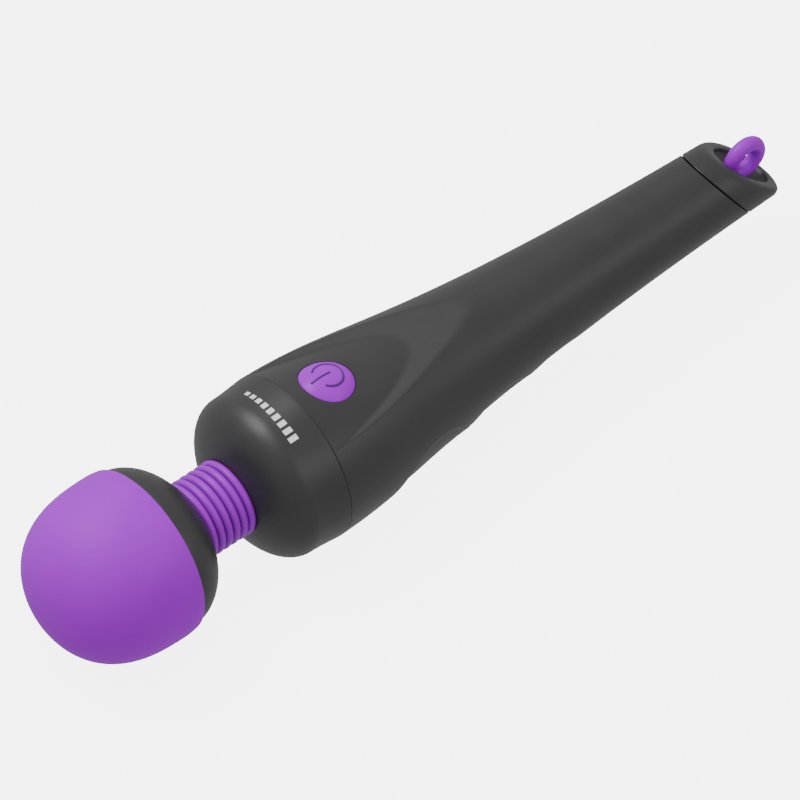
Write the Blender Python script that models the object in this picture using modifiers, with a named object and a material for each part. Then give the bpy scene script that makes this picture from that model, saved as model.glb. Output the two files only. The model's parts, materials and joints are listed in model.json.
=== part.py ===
"""Handheld wand massager, battery powered, lying along X with its button facing up.

The head points to -X, the end cap to +X, and the ground is the plane z = 0 under the head.
Stations are distances from the tip of the head, along the axis.
"""

import math

import bmesh
import bpy
from mathutils import Matrix, Vector
from mathutils.geometry import interpolate_bezier

MM = 0.001

# Driving dimensions
LENGTH = 206.2 * MM
HEAD_RADIUS = 20.6 * MM
GAP = 0.3 * MM
WALL = 1.6 * MM
SEGMENTS = 32
FINE_SEGMENTS = 16

# Stations along the axis
HEAD_WIDEST = 24.95 * MM
COVER_END = 28.3 * MM
BASE_END = 39.7 * MM
NOSE_START = 52.4 * MM
NOSE_SEAM = 69.8 * MM
CAP_SEAM = 191.5 * MM
CAP_FACE = 199.9 * MM
BUTTON_STATION = 80.0 * MM

# Radii
BASE_RADIUS = 19.6 * MM
NECK_RADIUS = 9.15 * MM
NOSE_RADIUS = 19.8 * MM
HANDLE_RADIUS = 20.35 * MM
TAIL_RADIUS = 8.88 * MM
BORE_RADIUS = 7.65 * MM
CELL_RADIUS = 7.25 * MM
CELL_LENGTH = 50.5 * MM

# Thumb panel, heights above the axis
FLAT_HEIGHT = 14.25 * MM
PANEL_RADIUS = 20.5 * MM
PANEL_HEIGHT_AT_SEAM = 20.3 * MM
PANEL_SLOPE = math.radians(10.8)
BUTTON_RADIUS = 6.3 * MM
BOARD_POST = (-5.8 * MM, 7.4 * MM)

# End cap and loop
SEAM_TILT = math.radians(32)
FACE_TILT = math.radians(45)
TAIL_ROUNDING = 201.2 * MM
TAIL_END = 207.9 * MM
DISH_LENGTH = 9.2 * MM
DISH_WIDTH = 6.9 * MM
DISH_DEPTH = 2.8 * MM
DISH_OFFSET = -1.5 * MM
LOOP_RADIUS = 3.65 * MM
LOOP_TUBE = 1.75 * MM
LOOP_OFFSET = -1.95 * MM
LOOP_TOP = 1.95 * MM
LOOP_FOOT = 1.5 * MM

BLACK = (0.047, 0.047, 0.047)
PURPLE = (0.45, 0.027, 0.89)
WHITE = (0.75, 0.75, 0.72)
STEEL = (0.55, 0.55, 0.56)
BRASS = (0.72, 0.52, 0.22)
COPPER = (0.75, 0.3, 0.14)
GREEN = (0.02, 0.2, 0.08)
RED = (0.6, 0.02, 0.02)


# ---------------------------------------------------------------- helpers

def clear_scene():
    for item in list(bpy.data.objects):
        bpy.data.objects.remove(item)


def new_collection(name):
    collection = bpy.data.collections.new(name)
    bpy.context.scene.collection.children.link(collection)
    return collection


def finish_part(item, color, roughness, metallic=0.0):
    """Gives a part its own material, smooth shading, and a place in the parts collection."""
    material = bpy.data.materials.new(item.name)
    material.use_nodes = True
    shader = material.node_tree.nodes["Principled BSDF"]
    shader.inputs["Base Color"].default_value = (*color, 1)
    shader.inputs["Roughness"].default_value = roughness
    shader.inputs["Metallic"].default_value = metallic
    item.data.materials.append(material)
    PARTS.objects.link(item)
    if item.type == "MESH":
        item.data.shade_smooth()
        item.data.set_sharp_from_angle(angle=math.radians(35))
    return item


def finish_cutter(item):
    CUTTERS.objects.link(item)
    item.hide_render = True
    item.display_type = "WIRE"
    return item


def on_axis(station, side=0.0, height=0.0):
    """World point at a station, a sideways distance and a height above the axis."""
    return Vector((station - LENGTH / 2, side, AXIS_HEIGHT + height))


def along_x(segments=SEGMENTS):
    """Turns local Z to world X, with flat facets of the turned shape up and down."""
    facet = Matrix.Rotation(math.pi / segments, 4, "Z")
    return Matrix.Translation(on_axis(0)) @ Matrix.Rotation(math.pi / 2, 4, "Y") @ facet


def turned(name, outline, segments=SEGMENTS, matrix=None):
    """Solid turned from a closed outline of (distance along, radius) points."""
    area = sum(a[0] * b[1] - b[0] * a[1] for a, b in zip(outline, outline[1:] + outline[:1]))
    points = outline if area > 0 else outline[::-1]
    mesh = bpy.data.meshes.new(name)
    shape = bmesh.new()
    verts = [shape.verts.new((radius, 0, along)) for along, radius in points]
    for first, second in zip(verts, verts[1:] + verts[:1]):
        if first.co.x > 0 or second.co.x > 0:
            shape.edges.new((first, second))
    shape.to_mesh(mesh)
    shape.free()
    item = bpy.data.objects.new(name, mesh)
    screw = item.modifiers.new("Turn", "SCREW")
    screw.steps = screw.render_steps = segments
    screw.use_merge_vertices = True
    screw.merge_threshold = 1e-6
    screw.use_normal_calculate = False
    item.matrix_world = matrix or along_x(segments)
    return item


def box(name, low, high, matrix=None):
    mesh = bpy.data.meshes.new(name)
    shape = bmesh.new()
    centre = [(a + b) / 2 for a, b in zip(low, high)]
    size = [b - a for a, b in zip(low, high)]
    place = Matrix.Translation(centre) @ Matrix.Diagonal((*size, 1))
    bmesh.ops.create_cube(shape, size=1, matrix=place)
    shape.to_mesh(mesh)
    shape.free()
    item = bpy.data.objects.new(name, mesh)
    item.matrix_world = matrix or Matrix.Identity(4)
    return item


def rod(name, radius, low, high, matrix, segments=FINE_SEGMENTS):
    """Cylinder along the matrix's Z axis, from low to high."""
    mesh = bpy.data.meshes.new(name)
    shape = bmesh.new()
    bmesh.ops.create_cone(
        shape, cap_ends=True, segments=segments, radius1=radius, radius2=radius,
        depth=high - low, matrix=Matrix.Translation((0, 0, (low + high) / 2)),
    )
    shape.to_mesh(mesh)
    shape.free()
    item = bpy.data.objects.new(name, mesh)
    item.matrix_world = matrix
    return item


def wire(name, points, radius, resolution=2, ring=False):
    """Round wire through the points, with its ends filled, or closed into a ring."""
    curve = bpy.data.curves.new(name, "CURVE")
    curve.dimensions = "3D"
    curve.bevel_depth = radius
    curve.bevel_resolution = resolution
    curve.use_fill_caps = True
    spline = curve.splines.new("POLY")
    spline.points.add(len(points) - 1)
    spline.use_cyclic_u = ring
    for point, place in zip(spline.points, points):
        point.co = (*place, 1)
    return bpy.data.objects.new(name, curve)


def combine(item, other, operation="DIFFERENCE"):
    modifier = item.modifiers.new(operation.title(), "BOOLEAN")
    modifier.operation = operation
    modifier.object = other
    return item


def cut(item, *others):
    for other in others:
        combine(item, finish_cutter(other))
    return item


def join(item, *others):
    for other in others:
        combine(item, finish_cutter(other), "UNION")
    return item


def ring_section(start, end, inner, outer):
    return [(start, inner), (end, inner), (end, outer), (start, outer)]


def quarter(centre, radius, depth, first, last, steps):
    """Points on a rounded nose: radius at the centre station, depth along the axis."""
    points = []
    for step in range(steps + 1):
        angle = first + (last - first) * step / steps
        points.append((centre + depth * math.sin(angle), radius * math.cos(angle)))
    return points


def head_outline(inset, end, steps):
    """Outer line of the head from its tip to the end station, drawn in by the inset."""
    depth = HEAD_WIDEST - inset
    radius = HEAD_RADIUS - inset
    points = [(inset, 0.0)]
    for step in range(1, steps + 1):
        share = math.cos(math.pi / 2 * step / steps)
        points.append((HEAD_WIDEST - depth * share, radius * (1 - share ** 2.7) ** (1 / 2.2)))
    return points + [(end, radius - 0.4 * MM)]


def handle_line(steps=14):
    """Outer line of the handle from the nose seam to past the end cap."""
    knots = [
        Vector((NOSE_SEAM, HANDLE_RADIUS, 0)),
        Vector((99.8 * MM, 19.86 * MM, 0)),
        Vector((104.2 * MM, 11.36 * MM, 0)),
        Vector((208.6 * MM, TAIL_RADIUS, 0)),
    ]
    return [(point.x, point.y) for point in interpolate_bezier(*knots, steps)]


def handle_radius(station):
    line = handle_line(60)
    for (near, first), (far, second) in zip(line, line[1:]):
        if near <= station <= far:
            return first + (second - first) * (station - near) / (far - near)
    return TAIL_RADIUS


def tilted_plane(station, tilt):
    """Frame on a plane across the body, tilted so that its normal leans up from +X."""
    return Matrix.Translation(on_axis(station)) @ Matrix.Rotation(math.pi / 2 - tilt, 4, "Y")


def panel_frame():
    """Frame at the button's centre on the panel: Z out of the panel, X down its slope."""
    height = PANEL_HEIGHT_AT_SEAM - (BUTTON_STATION - NOSE_SEAM) * math.tan(PANEL_SLOPE)
    return Matrix.Translation(on_axis(BUTTON_STATION, 0, height)) @ Matrix.Rotation(
        PANEL_SLOPE, 4, "Y"
    )


def thumb_cutter(name, inset):
    """Everything above the thumb flat and outside the sloped panel, both drawn in by the inset."""
    low = on_axis(NOSE_SEAM - 1 * MM, -25 * MM, FLAT_HEIGHT - inset)
    high = on_axis(NOSE_SEAM + 62 * MM, 25 * MM, 30 * MM)
    block = box(name, low, high)
    panel = rod(
        name + "_panel", PANEL_RADIUS - inset, -60 * MM, 60 * MM,
        panel_frame() @ Matrix.Translation((0, 0, -PANEL_RADIUS)) @ Matrix.Rotation(math.pi / 2, 4, "Y"),
        48,
    )
    return cut(block, panel)


# ---------------------------------------------------------------- head

AXIS_HEIGHT = HEAD_RADIUS * math.cos(math.pi / SEGMENTS)


def base_line(inset, start, steps):
    """Outer line of the head base from a station to the neck, drawn in by the inset."""
    centre, depth, radius = 28.1 * MM, 13.3 * MM - inset, BASE_RADIUS - inset
    first = math.asin(max(0.0, (start - centre) / depth))
    last = math.acos(min(1.0, (NECK_RADIUS - inset) / radius))
    return quarter(centre, radius, depth, first, last, steps)


def make_head():
    wall = 1.8 * MM
    outer = head_outline(0, COVER_END, 9)
    inner = head_outline(wall, COVER_END, 6)
    cover = turned("head_cover", outer + inner[::-1])
    finish_part(cover, PURPLE, 0.45)

    outer = head_outline(wall + GAP, COVER_END - 2.6 * MM, 6)
    inner = head_outline(wall + GAP + 1.4 * MM, COVER_END - 2.6 * MM, 5)
    finish_part(turned("head_dome", outer + inner[::-1]), BLACK, 0.5)

    outer = base_line(0, COVER_END + GAP, 6)
    inner = base_line(WALL, COVER_END + GAP, 4)
    rear = BASE_END - 0.1 * MM
    spigot_end = COVER_END - 2.3 * MM
    spigot = HEAD_RADIUS - wall - 0.4 * MM - 2 * GAP
    section = [(spigot_end, spigot - 1.4 * MM), (spigot_end, spigot), (outer[0][0], spigot)]
    section += outer + [(rear, NECK_RADIUS), (rear, 7.2 * MM), (rear - WALL, 7.2 * MM)]
    section += [(rear - WALL, inner[-1][1])] + inner[-2::-1]
    section[-1] = (inner[0][0], spigot - 1.4 * MM)
    base = turned("head_base", section)
    for side in (-1, 1):
        place = Matrix.Translation(on_axis(0, side * 12.5 * MM)) @ Matrix.Rotation(math.pi / 2, 4, "Y")
        join(base, rod(f"base_post_{side}", 2.8 * MM, 31.9 * MM, 36.6 * MM, place))
        cut(base, rod(f"base_post_hole_{side}", 1.3 * MM, 31 * MM, 35.9 * MM, place))
    finish_part(base, BLACK, 0.4)

    cradle = turned("motor_cradle", [
        (17 * MM, 7.9 * MM), (31.6 * MM, 7.9 * MM), (31.6 * MM, 15.4 * MM),
        (29.6 * MM, 15.4 * MM), (29.6 * MM, 9.2 * MM), (17 * MM, 9.2 * MM),
    ])
    for number, side in enumerate((-1, 1), 1):
        place = Matrix.Translation(on_axis(0, side * 12.5 * MM)) @ Matrix.Rotation(math.pi / 2, 4, "Y")
        cut(cradle, rod(f"cradle_hole_{number}", 1.3 * MM, 28 * MM, 33 * MM, place))
        outline = [
            (28.3 * MM, 0.0), (28.3 * MM, 2.2 * MM), (29.3 * MM, 2.2 * MM),
            (29.3 * MM, 1 * MM), (35.5 * MM, 1 * MM), (35.5 * MM, 0.0),
        ]
        screw = turned(f"cradle_screw_{number}", outline, FINE_SEGMENTS, place)
        finish_part(screw, STEEL, 0.3, 1.0)
    finish_part(cradle, WHITE, 0.5)


def make_motor():
    can = turned("motor_can", [
        (15 * MM, 2.5 * MM), (15 * MM, 7.6 * MM), (33.3 * MM, 7.6 * MM),
        (33.3 * MM, 6.9 * MM), (16 * MM, 6.9 * MM), (16 * MM, 2.5 * MM),
    ])
    finish_part(can, STEEL, 0.25, 1.0)
    cap = turned("motor_end_cap", [
        (33.6 * MM, 0.0), (33.6 * MM, 7.6 * MM), (35.2 * MM, 7.6 * MM), (35.2 * MM, 0.0),
    ])
    finish_part(cap, WHITE, 0.5)
    for number, side in enumerate((-1, 1), 1):
        magnet = turned(f"motor_magnet_{number}", ring_section(18 * MM, 30.5 * MM, 5 * MM, 6.6 * MM))
        low = on_axis(17 * MM, 2.5 * MM * side - 5 * MM * (side < 0), -8 * MM)
        high = on_axis(32 * MM, 2.5 * MM * side + 5 * MM * (side > 0), 8 * MM)
        combine(magnet, finish_cutter(box(f"magnet_keep_{number}", low, high)), "INTERSECT")
        finish_part(magnet, BLACK, 0.6)
    bush = turned("motor_bush", ring_section(13.6 * MM, 15.6 * MM, 1.12 * MM, 2.2 * MM), FINE_SEGMENTS)
    finish_part(bush, BRASS, 0.3, 1.0)
    armature = turned("motor_armature", ring_section(19 * MM, 29.5 * MM, 1.1 * MM, 4.6 * MM), FINE_SEGMENTS)
    for slot in range(3):
        turn = Matrix.Rotation(slot * math.tau / 3, 4, "Z")
        low, high = (-0.5 * MM, 2.8 * MM, 18 * MM), (0.5 * MM, 6 * MM, 31 * MM)
        cut(armature, box(f"armature_slot_{slot}", low, high, along_x(FINE_SEGMENTS) @ turn))
    finish_part(armature, COPPER, 0.35, 1.0)
    shaft = rod("motor_shaft", 1 * MM, 6.6 * MM, 33 * MM, along_x(FINE_SEGMENTS))
    finish_part(shaft, STEEL, 0.2, 1.0)
    weight = turned("eccentric_weight", ring_section(7 * MM, 12.5 * MM, 1.1 * MM, 8.5 * MM), FINE_SEGMENTS)
    cut(weight, box("weight_half", on_axis(6 * MM, -10 * MM, 2.2 * MM), on_axis(14 * MM, 10 * MM, 10 * MM)))
    finish_part(weight, STEEL, 0.35, 1.0)


# ---------------------------------------------------------------- neck

RIDGES = 6
RIDGE_PITCH = 2.12 * MM
FERRULE_INNER = 5.85 * MM
FERRULE_OUTER = 6.9 * MM


def make_neck():
    start, end = BASE_END + GAP, NOSE_START - GAP
    outline = [(start, 7.5 * MM), (start, 8.5 * MM)]
    for ridge in range(RIDGES):
        centre = 40.9 * MM + ridge * RIDGE_PITCH
        outline.append((centre - 0.35 * MM, NECK_RADIUS))
        outline.append((centre + 0.35 * MM, NECK_RADIUS))
        if ridge < RIDGES - 1:
            outline.append((centre + RIDGE_PITCH / 2, 8.5 * MM))
    outline += [(end, 8.5 * MM), (end, 7.5 * MM)]
    finish_part(turned("neck_bellows", outline), PURPLE, 0.45)

    turns, start, end = 5, 37.6 * MM, 54.4 * MM
    count = turns * 9
    points = []
    for step in range(count + 1):
        angle = math.tau * turns * step / count
        along = start + (end - start) * step / count
        points.append(on_axis(along, 5 * MM * math.sin(angle), 5 * MM * math.cos(angle)))
    finish_part(wire("neck_spring", points, 0.5 * MM), STEEL, 0.3, 1.0)

    for name, closed, flange, mouth in (
        ("neck_front_ferrule", 35.6 * MM, 37.4 * MM, 41.6 * MM),
        ("neck_rear_ferrule", 56.4 * MM, 54.6 * MM, 50.4 * MM),
    ):
        floor = closed + (flange - closed) * 0.7
        outline = [
            (closed, 3.4 * MM), (closed, 8.2 * MM), (flange, 8.2 * MM), (flange, FERRULE_OUTER),
            (mouth, FERRULE_OUTER), (mouth, FERRULE_INNER), (floor, FERRULE_INNER), (floor, 3.4 * MM),
        ]
        finish_part(turned(name, outline, FINE_SEGMENTS), WHITE, 0.4)


def make_leads():
    for name, side, color in (("red", -1.5 * MM, RED), ("black", 1.5 * MM, BLACK)):
        points = [on_axis((35.5 + step) * MM, side) for step in range(0, 22, 3)]
        finish_part(wire(f"motor_lead_{name}", points, 0.55 * MM), color, 0.5)
        knots = [
            on_axis(61.2 * MM, side), on_axis(66 * MM, side * 1.5),
            on_axis(63 * MM, side * 2.5, 12.6 * MM), on_axis(68.9 * MM, side * 3, 12.6 * MM),
        ]
        points = interpolate_bezier(*knots, 9)
        finish_part(wire(f"board_lead_{name}", points, 0.55 * MM), color, 0.5)
    low, high = on_axis(56.8 * MM, -3 * MM, -1.6 * MM), on_axis(60.8 * MM, 3 * MM, 1.6 * MM)
    connector = box("lead_connector", low, high)
    finish_part(connector, WHITE, 0.5)


# ---------------------------------------------------------------- handle

def make_nose():
    centre, depth = 61.5 * MM, 10.2 * MM
    first = -math.acos(NECK_RADIUS / NOSE_RADIUS)
    outer = quarter(centre, NOSE_RADIUS, depth, first, 0, 7)
    outer[0] = (NOSE_START, NECK_RADIUS)
    outer.append((NOSE_SEAM - GAP / 2, HANDLE_RADIUS))
    first = -math.acos((NECK_RADIUS - 1 * MM) / (NOSE_RADIUS - WALL))
    inner = quarter(centre, NOSE_RADIUS - WALL, depth - WALL, first, 0, 4)
    spigot = HANDLE_RADIUS - WALL - 2 * GAP
    section = [(NOSE_START, 7.2 * MM)] + outer
    section += [(NOSE_SEAM - GAP / 2, spigot), (NOSE_SEAM + 1.6 * MM, spigot)]
    section += [(NOSE_SEAM + 1.6 * MM, spigot - 1.2 * MM), (NOSE_SEAM - 3 * MM, spigot - 1.2 * MM)]
    section += inner[::-1] + [(NOSE_START + 1.8 * MM, 8.1 * MM), (NOSE_START + 1.8 * MM, 7.2 * MM)]
    finish_part(turned("nose_shell", section), BLACK, 0.35)


GRIPS = ((76.5, 86.6, 93.0, 0.9), (102.0, 110.4, 117.0, 0.7), (123.0, 130.3, 136.0, 0.5))
GRIP_RISE = 0.2 * MM


def grip_cutter(number, start, valley, end, depth):
    """Shallow saw-tooth notch round the lower half of the handle."""
    skin = [(station, handle_radius(station)) for station in (start * MM, valley * MM, end * MM)]
    outline = [
        (skin[0][0], skin[0][1] + GRIP_RISE), (skin[1][0], skin[1][1] - depth * MM),
        (skin[2][0], skin[2][1] + GRIP_RISE), (skin[2][0], skin[0][1] + 3 * MM),
        (skin[0][0], skin[0][1] + 3 * MM),
    ]
    notch = turned(f"grip_{number}", outline)
    keep = box(f"grip_keep_{number}", on_axis(0, -40 * MM, -40 * MM), on_axis(LENGTH, 40 * MM, -2 * MM))
    return combine(notch, finish_cutter(keep), "INTERSECT")


def make_handle():
    front = NOSE_SEAM + GAP / 2
    outer = [(front, 0.0), (front, HANDLE_RADIUS)] + handle_line()[1:]
    outer.append((outer[-1][0], 0.0))
    shell = turned("handle_shell", outer)
    cut(shell, thumb_cutter("thumb", 0))

    cavity = [(front - 1 * MM, 0.0), (front - 1 * MM, HANDLE_RADIUS - WALL)]
    cavity += [
        (station, radius - WALL) for station, radius in handle_line()[1:] if radius - WALL > BORE_RADIUS
    ]
    cavity += [(215 * MM, BORE_RADIUS), (215 * MM, 0.0)]
    hollow = cut(turned("handle_hollow", cavity), thumb_cutter("thumb_inner", WALL))
    cut(shell, hollow)
    for number, grip in enumerate(GRIPS, 1):
        cut(shell, grip_cutter(number, *grip))
    seam = tilted_plane(CAP_SEAM - GAP / 2, SEAM_TILT)
    cut(shell, box("handle_end", (-30 * MM, -30 * MM, 0), (30 * MM, 30 * MM, 60 * MM), seam))
    cut(shell, rod("button_hole", BUTTON_RADIUS + 0.3 * MM, -5 * MM, 5 * MM, panel_frame(), 24))
    strip_channel = box(
        "strip_channel", on_axis(74 * MM, -1.8 * MM, -8.55 * MM), on_axis(205 * MM, 1.8 * MM, -7 * MM)
    )
    cut(shell, strip_channel)
    for number, side in enumerate((-1, 1), 1):
        place = panel_frame() @ Matrix.Translation((BOARD_POST[0], side * BOARD_POST[1], 0))
        join(shell, rod(f"board_post_{number}", 1.5 * MM, -6.9 * MM, -2.2 * MM, place))
        cut(shell, rod(f"board_post_hole_{number}", 0.8 * MM, -8 * MM, -4 * MM, place, 12))
    finish_part(shell, BLACK, 0.35)


def make_button():
    dome = quarter(0, BUTTON_RADIUS, 1.5 * MM, math.pi / 2, 0.15, 6)
    section = [(along, radius) for along, radius in dome[1:]]
    section = [(1.5 * MM, 0.0)] + section + [(-3.3 * MM, BUTTON_RADIUS), (-3.3 * MM, 7.1 * MM)]
    section += [(-3.8 * MM, 7.1 * MM), (-3.8 * MM, 1.6 * MM), (-4.1 * MM, 1.6 * MM), (-4.1 * MM, 0.0)]
    button = turned("power_button", section, 24, panel_frame())
    finish_part(button, PURPLE, 0.4)
    plunger = rod("switch_plunger", 1.6 * MM, -6.0 * MM, -4.4 * MM, panel_frame(), 12)
    finish_part(plunger, WHITE, 0.5)
    switch = box("tact_switch", (-3 * MM, -3 * MM, -6.9 * MM), (3 * MM, 3 * MM, -5.1 * MM), panel_frame())
    cut(switch, rod("switch_hole", 1.8 * MM, -8 * MM, -4 * MM, panel_frame(), 12))
    finish_part(switch, STEEL, 0.3, 1.0)


def make_board():
    frame = panel_frame()
    board = box("circuit_board", (-9.2 * MM, -9.2 * MM, -8.2 * MM), (8 * MM, 9.2 * MM, -7.2 * MM), frame)
    for number, side in enumerate((-1, 1), 1):
        place = frame @ Matrix.Translation((BOARD_POST[0], side * BOARD_POST[1], 0))
        cut(board, rod(f"board_hole_{number}", 0.8 * MM, -9 * MM, -7 * MM, place, 12))
        outline = [
            (-9.5 * MM, 0.0), (-9.5 * MM, 1.3 * MM), (-8.5 * MM, 1.3 * MM),
            (-8.5 * MM, 0.6 * MM), (-4.4 * MM, 0.6 * MM), (-4.4 * MM, 0.0),
        ]
        finish_part(turned(f"board_screw_{number}", outline, 12, place), STEEL, 0.3, 1.0)
    finish_part(board, GREEN, 0.4)
    chip = box("controller_chip", (3.6 * MM, -2.5 * MM, -6.9 * MM), (7.2 * MM, 2.5 * MM, -5.6 * MM), frame)
    finish_part(chip, BLACK, 0.4)
    place = frame @ Matrix.Translation((-6.4 * MM, 0, 0))
    capacitor = rod("capacitor", 1.6 * MM, -6.9 * MM, -4.6 * MM, place, 12)
    finish_part(capacitor, STEEL, 0.3, 1.0)


# ---------------------------------------------------------------- battery

FRONT_CELL = 78.7 * MM
REAR_CELL = FRONT_CELL + CELL_LENGTH + GAP
REAR_CELL_END = REAR_CELL + CELL_LENGTH


def make_cells():
    for name, start in (("cell_front", FRONT_CELL), ("cell_rear", REAR_CELL)):
        outline = [
            (start, 0.0), (start, 2.7 * MM), (start + 1 * MM, 2.7 * MM), (start + 1 * MM, 6.6 * MM),
            (start + 1.6 * MM, CELL_RADIUS), (start + CELL_LENGTH - 0.5 * MM, CELL_RADIUS),
            (start + CELL_LENGTH, 6.6 * MM), (start + CELL_LENGTH, 0.0),
        ]
        finish_part(turned(name, outline, FINE_SEGMENTS), COPPER, 0.3, 0.6)


def make_contacts():
    tube = turned("battery_tube", ring_section(77.4 * MM, 166 * MM, 7.6 * MM, 8.3 * MM))
    cut(tube, box("tube_slot", on_axis(70 * MM, -2 * MM, -12 * MM), on_axis(170 * MM, 2 * MM, -6 * MM)))
    finish_part(tube, WHITE, 0.5)
    carrier = turned("contact_carrier", [
        (75.2 * MM, 0.0), (75.2 * MM, 8.3 * MM), (77.1 * MM, 8.3 * MM), (77.1 * MM, 0.0),
    ])
    low, high = on_axis(70 * MM, -2 * MM, -12 * MM), on_axis(80 * MM, 2 * MM, -7 * MM)
    cut(carrier, box("carrier_slot", low, high))
    finish_part(carrier, WHITE, 0.5)
    contact = rod("front_contact", 4.5 * MM, 77.6 * MM, 78.2 * MM, along_x(FINE_SEGMENTS))
    finish_part(contact, BRASS, 0.3, 1.0)
    low, high = on_axis(75 * MM, -1.5 * MM, -8.25 * MM), on_axis(181 * MM, 1.5 * MM, -7.95 * MM)
    finish_part(box("return_strip", low, high), BRASS, 0.3, 1.0)

    turns, start, end = 4, REAR_CELL_END + 0.9 * MM, 188.6 * MM
    count = turns * 8
    points = []
    for step in range(count + 1):
        angle = math.tau * turns * step / count
        reach = 3.2 * MM + 1.4 * MM * step / count
        along = start + (end - start) * step / count
        points.append(on_axis(along, reach * math.sin(angle), reach * math.cos(angle)))
    finish_part(wire("tail_spring", points, 0.4 * MM), STEEL, 0.25, 1.0)
    plate = rod("tail_contact", 5.3 * MM, 189.3 * MM, 189.8 * MM, along_x(FINE_SEGMENTS))
    finish_part(plate, BRASS, 0.3, 1.0)


# ---------------------------------------------------------------- tail

COLLAR_START = 181.6 * MM
COLLAR_RADIUS = 7.0 * MM


def loop_frame():
    """Frame on the cap's end face under the loop: Z out of the face, Y across the body."""
    return tilted_plane(CAP_FACE, FACE_TILT) @ Matrix.Translation((LOOP_OFFSET, 0, 0))


def cap_radius(station):
    """The handle's taper, rounded off towards the tail."""
    share = max(0, station - TAIL_ROUNDING) / (TAIL_END - TAIL_ROUNDING)
    return handle_radius(station) * (1 - share ** 2.2) ** (1 / 2.2)


def make_dish():
    """Shallow oval hollow in the cap's end face."""
    mesh = bpy.data.meshes.new("cap_dish")
    shape = bmesh.new()
    size = Matrix.Diagonal((DISH_LENGTH, DISH_WIDTH, DISH_DEPTH, 1))
    bmesh.ops.create_uvsphere(shape, u_segments=24, v_segments=14, radius=1, matrix=size)
    shape.to_mesh(mesh)
    shape.free()
    dish = bpy.data.objects.new("cap_dish", mesh)
    dish.matrix_world = tilted_plane(CAP_FACE, FACE_TILT) @ Matrix.Translation((DISH_OFFSET, 0, 0))
    return dish


def make_cap():
    stations = [station * MM for station in (185, 197, 201.2, 203.4, 205, 206.2, 207)]
    outline = [(stations[0], 0.0)] + [(station, cap_radius(station)) for station in stations]
    outline.append((stations[-1], 0.0))
    cap = turned("end_cap", outline)
    wide = 40 * MM
    face = tilted_plane(CAP_FACE, FACE_TILT)
    cut(cap, box("cap_end", (-wide, -wide, 0), (wide, wide, wide), face))
    rim = cap.modifiers.new("Rim", "BEVEL")
    rim.width = 1 * MM
    rim.segments = 2
    rim.limit_method = "ANGLE"
    rim.angle_limit = math.radians(30)
    seam = tilted_plane(CAP_SEAM + GAP / 2, SEAM_TILT)
    cut(cap, box("cap_front", (-wide, -wide, -wide), (wide, wide, 0), seam))
    collar = rod("cap_collar", COLLAR_RADIUS, COLLAR_START, 196 * MM, along_x())
    cut(collar, box("collar_end", (-wide, -wide, -0.5 * MM), (wide, wide, wide), face))
    join(cap, collar)
    cut(cap, turned("cap_groove", ring_section(183 * MM, 184.8 * MM, 6.3 * MM, 7.6 * MM)))
    cut(cap, rod("cap_hollow", 5.6 * MM, 180 * MM, 190.1 * MM, along_x(24), 24))
    cut(cap, make_dish())
    slot = loop_frame() @ Matrix.Translation((0, 0, LOOP_FOOT)) @ Matrix.Rotation(math.pi / 2, 4, "X")
    half = LOOP_TUBE + GAP
    cut(cap, rod("loop_slot", LOOP_RADIUS + half, -half, half, slot, 32))
    finish_part(cap, BLACK, 0.35)
    seal = turned("cap_seal", ring_section(183.4 * MM, 184.4 * MM, 6.6 * MM, 7.4 * MM), FINE_SEGMENTS)
    finish_part(seal, BLACK, 0.6)


def make_loop():
    """Upright oval ring whose foot stands in a slot in the cap's dish."""
    steps = 12
    outline = []
    for step in range(steps + 1):
        angle = math.pi * step / steps
        rise = LOOP_RADIUS * math.sin(angle)
        outline.append((LOOP_RADIUS * math.cos(angle), 0, LOOP_TOP + rise))
    for step in range(steps + 1):
        angle = math.pi * step / steps
        drop = LOOP_RADIUS * math.sin(angle)
        outline.append((-LOOP_RADIUS * math.cos(angle), 0, LOOP_FOOT - drop))
    loop = wire("hanging_loop", outline, LOOP_TUBE, 3, True)
    loop.matrix_world = loop_frame()
    finish_part(loop, PURPLE, 0.4)


# ---------------------------------------------------------------- joints

NECK_PITCH = 49.2 * MM
NECK_YAW = 42.9 * MM


def carry(name, matrix, names, parent=None):
    """Empty on a joint's axis that carries the named parts without moving them."""
    empty = bpy.data.objects.new(name, None)
    empty.empty_display_size = 10 * MM
    PARTS.objects.link(empty)
    empty.matrix_world = matrix
    if parent:
        empty.parent = parent
        empty.matrix_parent_inverse = parent.matrix_world.inverted()
    for part in (bpy.data.objects[part] for part in names):
        part.parent = empty
        part.matrix_parent_inverse = matrix.inverted()
    return empty


def make_joints():
    pitch = carry("neck_pitch_axis", Matrix.Translation(on_axis(NECK_PITCH)), (
        "neck_bellows", "neck_spring", "motor_lead_red", "motor_lead_black",
    ))
    yaw = carry("neck_yaw_axis", Matrix.Translation(on_axis(NECK_YAW)), (
        "head_cover", "head_dome", "head_base", "motor_cradle", "cradle_screw_1", "cradle_screw_2",
        "motor_can", "motor_end_cap", "motor_magnet_1", "motor_magnet_2", "motor_bush",
        "neck_front_ferrule",
    ), pitch)
    carry("motor_axis", Matrix.Translation(on_axis(20 * MM)), (
        "motor_armature", "motor_shaft", "eccentric_weight",
    ), yaw)
    carry("button_axis", panel_frame(), ("power_button", "switch_plunger"))
    carry("cap_axis", Matrix.Translation(on_axis(CAP_SEAM)), (
        "end_cap", "cap_seal", "tail_contact", "tail_spring", "hanging_loop",
    ))


clear_scene()
PARTS = new_collection("wand_massager")
CUTTERS = new_collection("cutters")
make_head()
make_motor()
make_neck()
make_leads()
make_nose()
make_handle()
make_button()
make_board()
make_cells()
make_contacts()
make_cap()
make_loop()
make_joints()
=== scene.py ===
"""Looks of the handheld wand massager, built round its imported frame."""

import json
import math

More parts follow.
